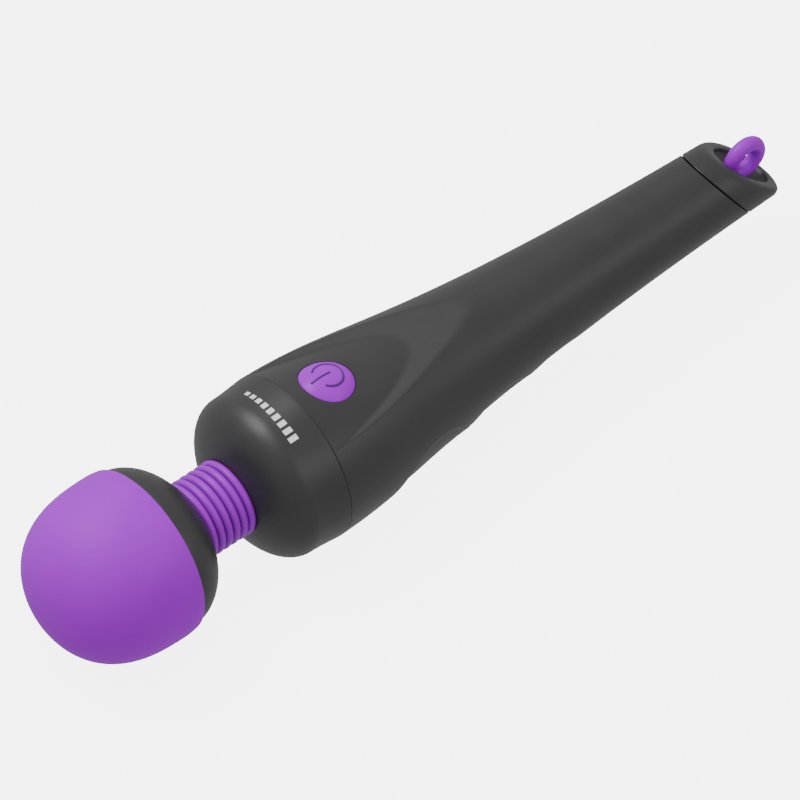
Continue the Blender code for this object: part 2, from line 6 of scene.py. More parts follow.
import bmesh
import bpy
import numpy as np
from mathutils import Matrix, Vector
from mathutils.geometry import interpolate_bezier


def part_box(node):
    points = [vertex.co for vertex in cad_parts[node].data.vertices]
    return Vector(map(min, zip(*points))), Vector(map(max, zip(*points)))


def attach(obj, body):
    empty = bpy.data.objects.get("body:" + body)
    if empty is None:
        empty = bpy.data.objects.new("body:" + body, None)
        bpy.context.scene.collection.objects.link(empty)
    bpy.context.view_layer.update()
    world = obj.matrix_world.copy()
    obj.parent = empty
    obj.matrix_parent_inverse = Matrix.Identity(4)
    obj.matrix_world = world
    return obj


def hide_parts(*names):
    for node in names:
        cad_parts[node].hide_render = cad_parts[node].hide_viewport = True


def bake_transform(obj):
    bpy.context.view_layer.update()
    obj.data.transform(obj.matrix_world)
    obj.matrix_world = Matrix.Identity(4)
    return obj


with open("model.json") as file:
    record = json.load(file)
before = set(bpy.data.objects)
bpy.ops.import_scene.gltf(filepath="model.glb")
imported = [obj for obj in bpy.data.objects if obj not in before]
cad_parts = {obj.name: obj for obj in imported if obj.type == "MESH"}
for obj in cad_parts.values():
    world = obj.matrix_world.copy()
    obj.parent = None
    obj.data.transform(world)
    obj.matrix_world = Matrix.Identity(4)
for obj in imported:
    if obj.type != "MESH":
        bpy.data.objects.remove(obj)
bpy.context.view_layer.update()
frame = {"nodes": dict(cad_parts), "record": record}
MM = 0.001

# From the frame: the head's tip, the height of the axis through the head's middle, and the stations
# where the CAD pieces start and end. A station is a distance along the axis from the head's tip.
TIP_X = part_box("head_cover")[0].x
AXIS_Z = sum(corner.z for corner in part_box("head_cover")) / 2
COVER_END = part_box("head_cover")[1].x - TIP_X
BASE_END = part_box("head_base")[1].x - TIP_X
NOSE_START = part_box("nose_shell")[0].x - TIP_X
HANDLE_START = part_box("handle_shell")[0].x - TIP_X

# Radii, stations, depths, heights above the axis and angles that the outer shapes follow
HEAD_RADIUS = 20.6 * MM
HEAD_WIDEST = 24.95 * MM
BASE_CENTRE = 28.1 * MM
BASE_RADIUS = 19.6 * MM
BASE_DEPTH = 13.3 * MM
NECK_RADIUS = 9.15 * MM
NOSE_CENTRE = 61.5 * MM
NOSE_RADIUS = 19.8 * MM
NOSE_DEPTH = 10.2 * MM
HANDLE_RADIUS = 20.35 * MM
SEAM = 69.8 * MM
WALL = 1.6 * MM
GAP = 0.3 * MM
BORE = 7.65 * MM
NECK_HOLE = 7.2 * MM
FLAT_HEIGHT = 14.25 * MM
PANEL_RADIUS = 20.5 * MM
PANEL_HEIGHT = 20.3 * MM
PANEL_SLOPE = math.radians(10.8)
BUTTON_STATION = 80 * MM
BUTTON_RADIUS = 6.3 * MM
CAP_SEAM = 191.5 * MM
CAP_FACE = 199.9 * MM
SEAM_TILT = math.radians(32)
FACE_TILT = math.radians(45)
LOOP_RADIUS = 3.65 * MM
LOOP_TUBE = 1.75 * MM
LOOP_OFFSET = -1.95 * MM
LOOP_ARCH = 1.95 * MM
LOOP_FOOT = 1.5 * MM
LOOP_SIDES = 40

ON_AXIS = 1e-6


# ---------------------------------------------------------------- geometry helpers

def place(station, side=0.0, height=0.0):
    """World point at a station, an offset to the side and a height above the axis."""
    return Vector((TIP_X + station, side, AXIS_Z + height))


def link(name, mesh, material, smooth_angle=40):
    """Piece made of the mesh, shaded smooth except at edges sharper than the angle."""
    piece = bpy.data.objects.new(name, mesh)
    bpy.context.scene.collection.objects.link(piece)
    mesh.materials.append(material)
    mesh.shade_smooth()
    mesh.set_sharp_from_angle(angle=math.radians(smooth_angle))
    return piece


def to_mesh(name, shape):
    """Mesh of the bmesh with its faces turned outwards. The bmesh is freed."""
    bmesh.ops.recalc_face_normals(shape, faces=shape.faces)
    mesh = bpy.data.meshes.new(name)
    shape.to_mesh(mesh)
    shape.free()
    return mesh


def from_bmesh(name, shape, material, smooth_angle=40):
    return link(name, to_mesh(name, shape), material, smooth_angle)


def from_points(name, points, faces, material, smooth_angle):
    """Piece made of points and of faces given as rows of point numbers."""
    mesh = bpy.data.meshes.new(name)
    mesh.from_pydata(points, [], faces)
    shape = bmesh.new()
    shape.from_mesh(mesh)
    bpy.data.meshes.remove(mesh)
    return from_bmesh(name, shape, material, smooth_angle)


def bridge(shape, rings):
    """Faces between each ring of vertices and the next. A ring of one vertex is a pole."""
    for first, second in zip(rings, rings[1:]):
        if len(first) == 1 and len(second) == 1:
            continue
        for step in range(max(len(first), len(second))):
            corners = (
                first[step % len(first)], first[(step + 1) % len(first)],
                second[(step + 1) % len(second)], second[step % len(second)],
            )
            shape.faces.new(dict.fromkeys(corners))


SHARP_TURN = math.radians(20)
FILLET_SHARE = 0.45
FILLET_STEPS = 4


def filleted(points, radius):
    """The closed outline with each sharp corner off the axis rounded."""
    result = []
    count = len(points)
    for index in range(count):
        before, here, after = (Vector(points[(index + k) % count]) for k in (-1, 0, 1))
        back, ahead = before - here, after - here
        turn = math.pi - back.angle(ahead, math.pi)
        if turn < SHARP_TURN or here.y < ON_AXIS:
            result.append(tuple(here))
            continue
        reach = min(radius, back.length * FILLET_SHARE, ahead.length * FILLET_SHARE)
        start, end = here + back.normalized() * reach, here + ahead.normalized() * reach
        for step in range(FILLET_STEPS + 1):
            share = step / FILLET_STEPS
            first = start.lerp(here, share)
            second = here.lerp(end, share)
            result.append(tuple(first.lerp(second, share)))
    return result


def turned(name, outline, material, segments, radius):
    """Closed solid turned about the axis from (station, radius) points, its corners rounded."""
    shape = bmesh.new()
    rings = []
    for station, reach in filleted(outline, radius):
        if reach < ON_AXIS:
            rings.append([shape.verts.new(place(station))])
            continue
        ring = []
        for step in range(segments):
            angle = math.tau * (step + 0.5) / segments
            side, height = reach * math.sin(angle), reach * math.cos(angle)
            ring.append(shape.verts.new(place(station, side, height)))
        rings.append(ring)
    bridge(shape, rings + rings[:1])
    return from_bmesh(name, shape, material)


def tube(name, points, radius, material, sides):
    """Round tube along the points, with flat ends."""
    shape = bmesh.new()
    rings = []
    across = None
    for index, point in enumerate(points):
        ahead = points[min(index + 1, len(points) - 1)] - points[max(index - 1, 0)]
        ahead.normalize()
        if across is None:
            across = ahead.orthogonal().normalized()
        across = (across - ahead * across.dot(ahead)).normalized()
        other = ahead.cross(across)
        ring = []
        for step in range(sides):
            angle = math.tau * step / sides
            offset = across * math.cos(angle) + other * math.sin(angle)
            ring.append(shape.verts.new(point + offset * radius))
        rings.append(ring)
    bridge(shape, rings)
    shape.faces.new(rings[0][::-1])
    shape.faces.new(rings[-1])
    return from_bmesh(name, shape, material)


def rod(radius, length, matrix, segments):
    """Plain cylinder about the matrix's centre, to cut with."""
    shape = bmesh.new()
    bmesh.ops.create_cone(
        shape, cap_ends=True, segments=segments, radius1=radius, radius2=radius, depth=length,
    )
    item = bpy.data.objects.new("rod", to_mesh("rod", shape))
    bpy.context.scene.collection.objects.link(item)
    item.matrix_world = matrix
    return item


def cut_with(piece, cutter):
    """Takes the cutter's space out of the piece, and removes the cutter."""
    modifier = piece.modifiers.new("cut", "BOOLEAN")
    modifier.operation = "DIFFERENCE"
    modifier.object = cutter
    graph = bpy.context.evaluated_depsgraph_get()
    mesh = bpy.data.meshes.new_from_object(piece.evaluated_get(graph))
    piece.modifiers.clear()
    piece.data = mesh
    bpy.data.objects.remove(cutter)


def handle_line():
    """Points along the handle's top line, from the nose seam past the tail."""
    knots = [
        Vector((SEAM, HANDLE_RADIUS, 0)), Vector((99.8 * MM, 19.86 * MM, 0)),
        Vector((104.2 * MM, 11.36 * MM, 0)), Vector((208.6 * MM, 8.88 * MM, 0)),
    ]
    return np.array([(point.x, point.y) for point in interpolate_bezier(*knots, 240)])


HANDLE_LINE = handle_line()


def handle_radius(station):
    return np.interp(station, HANDLE_LINE[:, 0], HANDLE_LINE[:, 1])


def tilted_plane(station, tilt):
    """Frame at a station, with its Z along the axis raised by the tilt and its X downwards."""
    return Matrix.Translation(place(station)) @ Matrix.Rotation(math.pi / 2 - tilt, 4, "Y")


def panel_frame():
    """Frame at the button's centre, on the sloped panel, with its Z out of the panel."""
    height = PANEL_HEIGHT - (BUTTON_STATION - SEAM) * math.tan(PANEL_SLOPE)
    centre = place(BUTTON_STATION, 0, height)
    return Matrix.Translation(centre) @ Matrix.Rotation(PANEL_SLOPE, 4, "Y")


# ---------------------------------------------------------------- materials

GRAIN_DEPTH = 0.03 * MM
GRAIN_ROUGHNESS = 0.04  # either side of the material's own
NOISE_MIDDLE = 0.3, 0.7
SCRATCH_DEPTH = 0.02 * MM
SCRATCH_STRENGTH = 0.15
SCRATCH_ROUGHNESS = -0.08, 0.12
SCRATCH_SCALE = 900
TARNISH_SCALE = 120
TARNISH_SHARES = 0.78, 1.12


def material(name, color, roughness, metallic=0.0, **constants):
    """Principled material with its constant sockets set, its nodes, its links and its shader."""
    made = bpy.data.materials.new(name)
    made.use_nodes = True
    nodes, links = made.node_tree.nodes, made.node_tree.links
    shader = nodes["Principled BSDF"]
    shader.inputs["Base Color"].default_value = (*color, 1)
    shader.inputs["Roughness"].default_value = roughness
    shader.inputs["Metallic"].default_value = metallic
    for socket, value in constants.items():
        shader.inputs[socket.replace("_", " ")].default_value = value
    return made, nodes, links, shader


def noise(nodes, links, vector, scale, detail=2.0):
    made = nodes.new("ShaderNodeTexNoise")
    made.inputs["Scale"].default_value = scale
    made.inputs["Detail"].default_value = detail
    links.new(vector, made.inputs["Vector"])
    return made.outputs["Fac"]


def vary_color(nodes, links, shader, source, colors, span=(0.0, 1.0)):
    """Base colour that runs between two colours as the source crosses the span."""
    ramp = nodes.new("ShaderNodeValToRGB")
    for element, color, position in zip(ramp.color_ramp.elements, colors, span):
        element.position = position
        element.color = (*color, 1)
    links.new(source, ramp.inputs["Fac"])
    links.new(ramp.outputs["Color"], shader.inputs["Base Color"])


def vary_roughness(nodes, links, shader, source, ends, span=(0.0, 1.0)):
    """Roughness that runs between two values as the source crosses the span."""
    spans = nodes.new("ShaderNodeMapRange")
    spans.inputs["From Min"].default_value, spans.inputs["From Max"].default_value = span
    spans.inputs["To Min"].default_value, spans.inputs["To Max"].default_value = ends
    links.new(source, spans.inputs["Value"])
    links.new(spans.outputs["Result"], shader.inputs["Roughness"])


def raise_surface(nodes, links, shader, source, strength, distance):
    raised = nodes.new("ShaderNodeBump")
    raised.inputs["Strength"].default_value = strength
    raised.inputs["Distance"].default_value = distance
    links.new(source, raised.inputs["Height"])
    links.new(raised.outputs["Normal"], shader.inputs["Normal"])


def moulded(name, color, roughness, scales=(2600, 90), spread=0.06, bump=0.12, **constants):
    """Moulded grain: fine noise raises the surface, broad noise varies colour and roughness."""
    made, nodes, links, shader = material(name, color, roughness, **constants)
    vector = nodes.new("ShaderNodeTexCoord").outputs["Object"]
    fine = noise(nodes, links, vector, scales[0], 3)
    broad = noise(nodes, links, vector, scales[1], 4)
    colors = [[min(1, part * share) for part in color] for share in (1 - spread, 1 + spread)]
    ends = roughness - GRAIN_ROUGHNESS, roughness + GRAIN_ROUGHNESS
    vary_color(nodes, links, shader, broad, colors, NOISE_MIDDLE)
    vary_roughness(nodes, links, shader, broad, ends, NOISE_MIDDLE)
    raise_surface(nodes, links, shader, fine, bump, GRAIN_DEPTH)
    return made


def brushed(name, color, roughness, stretch):
    """Metal with fine scratches along one axis and faint tarnish."""
    made, nodes, links, shader = material(name, color, roughness, 1.0)
    vector = nodes.new("ShaderNodeTexCoord").outputs["Object"]
    mapping = nodes.new("ShaderNodeMapping")
    mapping.inputs["Scale"].default_value = stretch
    links.new(vector, mapping.inputs["Vector"])
    scratches = noise(nodes, links, mapping.outputs["Vector"], SCRATCH_SCALE, 4)
    tarnish = noise(nodes, links, vector, TARNISH_SCALE)
    colors = [[min(1, part * share) for part in color] for share in TARNISH_SHARES]
    vary_color(nodes, links, shader, tarnish, colors)
    ends = [roughness + change for change in SCRATCH_ROUGHNESS]
    vary_roughness(nodes, links, shader, scratches, ends)
    raise_surface(nodes, links, shader, scratches, SCRATCH_STRENGTH, SCRATCH_DEPTH)
    return made


def banded(name, colors, edges, roughness, metallic):
    """Printed sleeve whose colour changes in bands along X, each from its edge on."""
    made, nodes, links, shader = material(name, colors[0], roughness, metallic)
    split = nodes.new("ShaderNodeSeparateXYZ")
    links.new(nodes.new("ShaderNodeTexCoord").outputs["Object"], split.inputs["Vector"])
    span = nodes.new("ShaderNodeMapRange")
    span.inputs["From Min"].default_value = edges[0]
    span.inputs["From Max"].default_value = edges[-1]
    links.new(split.outputs["X"], span.inputs["Value"])
    ramp = nodes.new("ShaderNodeValToRGB")
    ramp.color_ramp.interpolation = "CONSTANT"
    steps = ramp.color_ramp.elements
    while len(steps) < len(colors):
        steps.new(0.5)
    for step, color, edge in zip(steps, colors, edges):
        step.position = (edge - edges[0]) / (edges[-1] - edges[0])
        step.color = (*color, 1)
    links.new(span.outputs["Result"], ramp.inputs["Fac"])
    links.new(ramp.outputs["Color"], shader.inputs["Base Color"])
    return made


def groove_shaded(name, color, roughness, share, **constants):
    """Moulded skin with painted shade: it darkens to a share of its colour down in the grooves.

    The mesh marks the grooves with a depth attribute.
    """
    made = moulded(name, color, roughness, **constants)
    nodes, links = made.node_tree.nodes, made.node_tree.links
    base = nodes["Principled BSDF"].inputs["Base Color"]
    depth = nodes.new("ShaderNodeAttribute")
    depth.attribute_name = "depth"
    shade = nodes.new("ShaderNodeMapRange")
    shade.inputs["To Min"].default_value = 1.0
    shade.inputs["To Max"].default_value = share
    links.new(depth.outputs["Fac"], shade.inputs["Value"])
    scaled = nodes.new("ShaderNodeVectorMath")
    scaled.operation = "SCALE"
    links.new(base.links[0].from_socket, scaled.inputs[0])
    links.new(shade.outputs["Result"], scaled.inputs["Scale"])
    links.new(scaled.outputs["Vector"], base)
    return made


BLACK = (0.036, 0.036, 0.037)
PURPLE = (0.45, 0.002, 0.80)

black_plastic = moulded("black_plastic", BLACK, 0.42)
purple_silicone = moulded(
    "purple_silicone", PURPLE, 0.5, (2200, 60), 0.04, 0.1, Specular_IOR_Level=0.12,
)
# Painted shade: the sleeve's colour darkens to 0.22 of itself at the bottom of each groove
groove_shaded_silicone = groove_shaded(
    "groove_shaded_silicone", PURPLE, 0.42, 0.22,
    scales=(2200, 60), spread=0.04, bump=0.1, Specular_IOR_Level=0.3,
)
purple_plastic = moulded(
    "purple_plastic", PURPLE, 0.36, (3000, 80), 0.04, 0.05, Specular_IOR_Level=0.2,
)
purple_mark = moulded("purple_mark", (0.09, 0.004, 0.21), 0.5)
white_print = moulded("white_print", (0.96, 0.96, 0.96), 0.5, scales=(6000, 400), spread=0.03)
nylon = moulded("nylon", (0.72, 0.71, 0.67), 0.5, Subsurface_Weight=0.05)
rubber = moulded("rubber", (0.03, 0.03, 0.03), 0.6, scales=(4000, 200), bump=0.2)
red_wire = moulded("red_wire", (0.55, 0.015, 0.015), 0.45)
black_wire = moulded("black_wire", (0.02, 0.02, 0.02), 0.45)
laminate = moulded("laminate", (0.012, 0.16, 0.06), 0.35, scales=(1500, 300), spread=0.25)
ferrite = moulded("ferrite", (0.05, 0.05, 0.055), 0.55, scales=(5000, 500), bump=0.3)
steel = brushed("steel", (0.56, 0.56, 0.57), 0.28, (0.1, 1, 1))
aluminium = brushed("aluminium", (0.72, 0.72, 0.74), 0.3, (1, 1, 0.1))
brass = brushed("brass", (0.78, 0.57, 0.24), 0.26, (0.1, 1, 1))
copper = brushed("copper", (0.8, 0.36, 0.18), 0.34, (1, 0.1, 0.1))


# ---------------------------------------------------------------- head

COVER_WALL = 1.8 * MM
COVER_LIP = COVER_END + 0.8 * GAP
COVER_DRAFT = 0.4 * MM  # how far the cover's side draws in
SPIGOT_START = COVER_END - 2.3 * MM
SPIGOT_RADIUS = HEAD_RADIUS - COVER_WALL - COVER_DRAFT - 2 * GAP
SPIGOT_WALL = 1.4 * MM
HEAD_SEGMENTS = 224


def head_line(inset, steps):
    """Half outline of the cover: a blunt dome, then a side that draws in a little."""
    depth, radius = HEAD_WIDEST - inset, HEAD_RADIUS - inset
    points = [(inset, 0.0)]
    for step in range(1, steps + 1):
        share = math.cos(math.pi / 2 * step / steps)
        points.append((HEAD_WIDEST - depth * share, radius * (1 - share ** 2.7) ** (1 / 2.2)))
    for step in range(1, 7):
        share = step / 6
        station = HEAD_WIDEST + (COVER_LIP - HEAD_WIDEST) * share
        points.append((station, radius - COVER_DRAFT * share ** 2))
    return points


def base_line(inset, start, steps):
    """Half outline of the head's rear: part of an ellipse that ends at the neck."""
    depth, radius = BASE_DEPTH - inset, BASE_RADIUS - inset
    first = math.asin((start - BASE_CENTRE) / depth)
    last = math.acos((NECK_RADIUS - inset) / radius)
    points = []
    for step in range(steps + 1):
        turn = first + (last - first) * step / steps
        points.append((BASE_CENTRE + depth * math.sin(turn), radius * math.cos(turn)))
    return points


def make_head():
    outline = head_line(0, 60) + head_line(COVER_WALL, 24)[::-1]
    cover = turned("head_cover_skin", outline, purple_silicone, HEAD_SEGMENTS, 0.5 * MM)
    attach(cover, "head")
    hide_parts("head_cover")

    start = COVER_END + GAP
    inner = base_line(WALL, start, 14)
    lip = SPIGOT_RADIUS - SPIGOT_WALL
    section = [(SPIGOT_START, lip), (SPIGOT_START, SPIGOT_RADIUS), (start, SPIGOT_RADIUS)]
    section += base_line(0, start, 44)
    section += [(BASE_END, NECK_HOLE), (BASE_END - WALL, NECK_HOLE)]
    section += [(BASE_END - WALL, inner[-1][1])] + inner[-2:0:-1] + [(inner[0][0], lip)]
    base = turned("head_base_skin", section, black_plastic, HEAD_SEGMENTS, 0.08 * MM)
    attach(base, "head")
    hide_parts("head_base")


# ---------------------------------------------------------------- neck

RIDGE_PITCH = 2.12 * MM
FIRST_RIDGE = 40.9 * MM
NECK_MIDDLE = FIRST_RIDGE + 2.5 * RIDGE_PITCH
RIDGE_RADIUS = 9.3 * MM
GROOVE_RADIUS = 8.1 * MM
SLEEVE_INNER = 7.5 * MM
SLEEVE_GAP = 0.05 * MM
SLEEVE_STEP = 0.08 * MM


def bellows_radius(station):
    """Rounded ridges with narrow grooves between them."""
    phase = (station - FIRST_RIDGE) / RIDGE_PITCH
    off = 2 * abs(phase - round(phase))
    return GROOVE_RADIUS + (RIDGE_RADIUS - GROOVE_RADIUS) * math.sqrt(max(0, 1 - off ** 2.2))


def bellows_half(name, start, end):
    """Half of the sleeve between two stations, its depth in the grooves marked for the painted shade
    there.
    """
    steps = round((end - start) / SLEEVE_STEP)
    outline = []
    for step in range(steps + 1):
        station = start + (end - start) * step / steps
        outline.append((station, bellows_radius(station)))
    outline.append((end, SLEEVE_INNER))
    for step in range(11, 0, -1):
        outline.append((start + (end - start) * step / 12, SLEEVE_INNER))
    outline.append((start, SLEEVE_INNER))
    half = turned(name, outline, groove_shaded_silicone, 144, 0.03 * MM)
    depths = half.data.attributes.new("depth", "FLOAT", "POINT")
    for vertex, depth in zip(half.data.vertices, depths.data):
        radius = math.hypot(vertex.co.y, vertex.co.z - AXIS_Z)
        depth.value = (RIDGE_RADIUS - radius) / (RIDGE_RADIUS - GROOVE_RADIUS)
    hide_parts("neck_bellows")
    return half


def make_bellows():
    """The sleeve in two halves."""
    start, end = BASE_END + SLEEVE_GAP, NOSE_START - SLEEVE_GAP
    front = bellows_half("bellows_front", start, NECK_MIDDLE)
    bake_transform(front)
    rear = bellows_half("bellows_rear", NECK_MIDDLE, end)
    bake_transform(rear)


def bend_inner(node, paint):
    """Two halves of a CAD piece in the neck, cut where the sleeve's meet."""
    middle = place(NECK_MIDDLE)
    for label, side in (("front", 1), ("rear", -1)):
        shape = bmesh.new()
        shape.from_mesh(frame["nodes"][node].data)
        everything = shape.verts[:] + shape.edges[:] + shape.faces[:]
        made = bmesh.ops.bisect_plane(
            shape, geom=everything, plane_co=middle, plane_no=(side, 0, 0), clear_outer=True,
        )
        rim = [item for item in made["geom_cut"] if isinstance(item, bmesh.types.BMEdge)]
        bmesh.ops.holes_fill(shape, edges=rim)
        half = from_bmesh(f"{node}_{label}", shape, paint)
        if label == "front":
            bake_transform(half)
        else:
            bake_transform(half)
        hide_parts(node)


# ---------------------------------------------------------------- nose and its printed mark

NOSE_END = HANDLE_START - 0.06 * MM
NOSE_SPIGOT = HANDLE_RADIUS - WALL - 2 * GAP
NOSE_SPIGOT_WALL = 1.2 * MM
NOSE_SPIGOT_END = SEAM + 1.6 * MM
NOSE_RIM = 1.8 * MM  # length of the rim round the neck's hole
NOSE_RIM_RADIUS = 8.1 * MM


def nose_line(inset, steps):
    """Half outline of the nose's rounded front, outside, or inside at an inset."""
    radius, depth = NOSE_RADIUS - inset, NOSE_DEPTH - inset
    opening = NECK_RADIUS - (1 * MM if inset else 0)
    first = math.acos(opening / radius)
    points = []
    for step in range(steps + 1):
        turn = first * (1 - step / steps)
        points.append((NOSE_CENTRE - depth * math.sin(turn), radius * math.cos(turn)))
    return points


def nose_rear(station):
    """Radius behind the nose's rounded front: it swells to the handle's without a crease."""
    share = (station - NOSE_CENTRE) / (SEAM - NOSE_CENTRE)
    return NOSE_RADIUS + (HANDLE_RADIUS - NOSE_RADIUS) * (2 * share - share * share) * share


def make_nose():
    section = [(NOSE_START, NECK_HOLE)] + nose_line(0, 48)
    for step in range(1, 13):
        station = NOSE_CENTRE + (NOSE_END - NOSE_CENTRE) * step / 12
        section.append((station, nose_rear(station)))
    inner = NOSE_SPIGOT - NOSE_SPIGOT_WALL
    section += [(NOSE_END, NOSE_SPIGOT), (NOSE_SPIGOT_END, NOSE_SPIGOT), (NOSE_SPIGOT_END, inner)]
    section += [(SEAM - 3 * MM, inner)] + nose_line(WALL, 12)[::-1]
    section += [(NOSE_START + NOSE_RIM, NOSE_RIM_RADIUS), (NOSE_START + NOSE_RIM, NECK_HOLE)]
    nose = turned("nose_skin", section, black_plastic, 256, 0.16 * MM)
    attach(nose, "handle")
    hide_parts("nose_shell")


MARK_STATION = 63.6 * MM
MARK_HEIGHT = 2.3 * MM
MARK_ARC = math.radians(27)
MARK_BARS = 9
MARK_SHORTEST = 0.45  # as a share of the longest
MARK_HALF_WIDTH = 0.62  # of each bar, as a share of half its pitch
MARK_LIFT = 0.04 * MM
MARK_ROWS, MARK_COLUMNS = 8, 6


def bar_grid(shape, middle, length, lift):
    """Rows of vertices that cover one bar at a height over the nose's surface."""
    half = MARK_ARC / MARK_BARS * MARK_HALF_WIDTH
    grid = []
    for row in range(MARK_ROWS + 1):
        station = MARK_STATION + MARK_HEIGHT / 2 - length * row / MARK_ROWS
        reach = nose_rear(max(station, NOSE_CENTRE)) + lift
        line = []
        for column in range(MARK_COLUMNS + 1):
            angle = middle - half + 2 * half * column / MARK_COLUMNS
            side, height = -reach * math.sin(angle), reach * math.cos(angle)
            line.append(shape.verts.new(place(station, side, height)))
        grid.append(line)
    return grid


def make_mark():
    """Row of bars that grow along it, printed across the top of the nose."""
    shape = bmesh.new()
    rows, columns = MARK_ROWS, MARK_COLUMNS
    border = [(row, 0) for row in range(rows)] + [(rows, column) for column in range(columns)]
    border += [(row, columns) for row in range(rows, 0, -1)]
    border += [(0, column) for column in range(columns, 0, -1)]
    for bar in range(MARK_BARS):
        middle = -MARK_ARC + 2 * MARK_ARC * (bar + 0.5) / MARK_BARS
        grown = MARK_SHORTEST + (1 - MARK_SHORTEST) * bar / (MARK_BARS - 1)
        length = MARK_HEIGHT * grown
        layers = [bar_grid(shape, middle, length, lift) for lift in (MARK_LIFT, -MARK_LIFT)]
        for grid in layers:
            for near, far in zip(grid, grid[1:]):
                for column in range(columns):
                    shape.faces.new((near[column], near[column + 1], far[column + 1], far[column]))
        top, bottom = ([grid[row][column] for row, column in border] for grid in layers)
        bridge(shape, [top, bottom])
    mark = from_bmesh("printed_bars", shape, white_print)
    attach(mark, "handle")


# ---------------------------------------------------------------- handle

# Each grip's front corner, length, height of the top of its arched edge, and depth
GRIPS = (
    (83.6 * MM, 25.5 * MM, 0.6 * MM, 1.6 * MM),
    (108.2 * MM, 21.0 * MM, -1.6 * MM, 1.25 * MM),
    (128.1 * MM, 16.0 * MM, -3.4 * MM, 0.8 * MM),
)
GRIP_LOW = -0.55  # height of the arch's ends, as a share of the handle's radius
GRIP_LEAD = 10 * MM  # length of the fade ahead of the corner
GRIP_EDGE = 1.4 * MM  # width of the slope below the arched edge
GRIP_BLEND = 0.08 * MM
FLAT_LEAST = 0.05  # least cosine of the angle from the top at which the flat can cut
CUT_BLEND = 0.26 * MM
LEAF_EDGE = 0.3 * MM  # rounding where the flat and the panel meet the round handle
LEAF_FADE = 4 * MM

HANDLE_SIDES = 420
TOP_CROWDING = 0.42  # points are closer together round the top
FINE_END = 148 * MM
TILT_START = 172 * MM  # from here the rows lean over towards the slanted seam
RIM = 0.16 * MM
INNER_ROWS = 48
BUTTON_CLEARANCE = 0.14 * MM


def smooth_min(first, second, blend):
    mix = np.clip(0.5 + 0.5 * (second - first) / blend, 0, 1)
    return second * (1 - mix) + first * mix - blend * mix * (1 - mix)


def smooth_max(first, second, blend):
    return -smooth_min(-first, -second, blend)


def grip_dent(station, height):
    """Depth of the finger grips: arched scoops that start deep and rise towards the tail."""
    low = handle_radius(station) * GRIP_LOW
    total = np.zeros_like(station)
    for corner, length, top, depth in GRIPS:
        along = (station - corner) / length
        inside = np.clip(along, 0, 1)
        edge = low + (top - low) * (1 - np.abs(2 * inside ** 1.15 - 1) ** 2.6)
        share = np.clip((edge - height) / GRIP_EDGE, 0, 1)
        share = share * (2 - share)
        rear = 0.4 * (1 - inside ** 4) + 0.6 * np.clip(1 - 2.6 * inside, 0, 1) ** 2
        lead = np.clip(1 + along * length / GRIP_LEAD, 0, 1) ** 2
        total = smooth_max(total, depth * share * np.where(along > 0, rear, lead), GRIP_BLEND)
    return total


def handle_surface(station, angle):
    """Radius of the handle's outside at each station and angle from the top."""
    reach = handle_radius(station)
    reach = reach - grip_dent(station, reach * np.cos(angle))
    cos, sin = np.cos(angle), np.sin(angle)
    flat = np.where(cos > FLAT_LEAST, FLAT_HEIGHT / np.maximum(cos, FLAT_LEAST), 1.0)
    # The panel is part of a cylinder about a line that slopes with it. A ray from the axis
    # meets it where a quadratic in the ray's length is zero.
    slope = math.cos(PANEL_SLOPE)
    centre = PANEL_HEIGHT - (station - SEAM) * math.tan(PANEL_SLOPE) - PANEL_RADIUS / slope
    a = sin ** 2 + (cos * slope) ** 2
    b = -2 * cos * centre * slope ** 2
    c = (centre * slope) ** 2 - PANEL_RADIUS ** 2
    panel = (-b + np.sqrt(np.maximum(b * b - 4 * a * c, 0))) / (2 * a)
    cut = smooth_max(flat, panel, CUT_BLEND)
    soft = np.clip((station - SEAM) / LEAF_FADE, 0.02, 1) * LEAF_EDGE
    return smooth_min(reach, cut, soft)


def oblique_end(radius, angles):
    """Stations of the handle's end face, on the slanted seam plane, at each angle."""
    return CAP_SEAM - GAP / 3 - radius * np.cos(angles) * math.tan(SEAM_TILT)


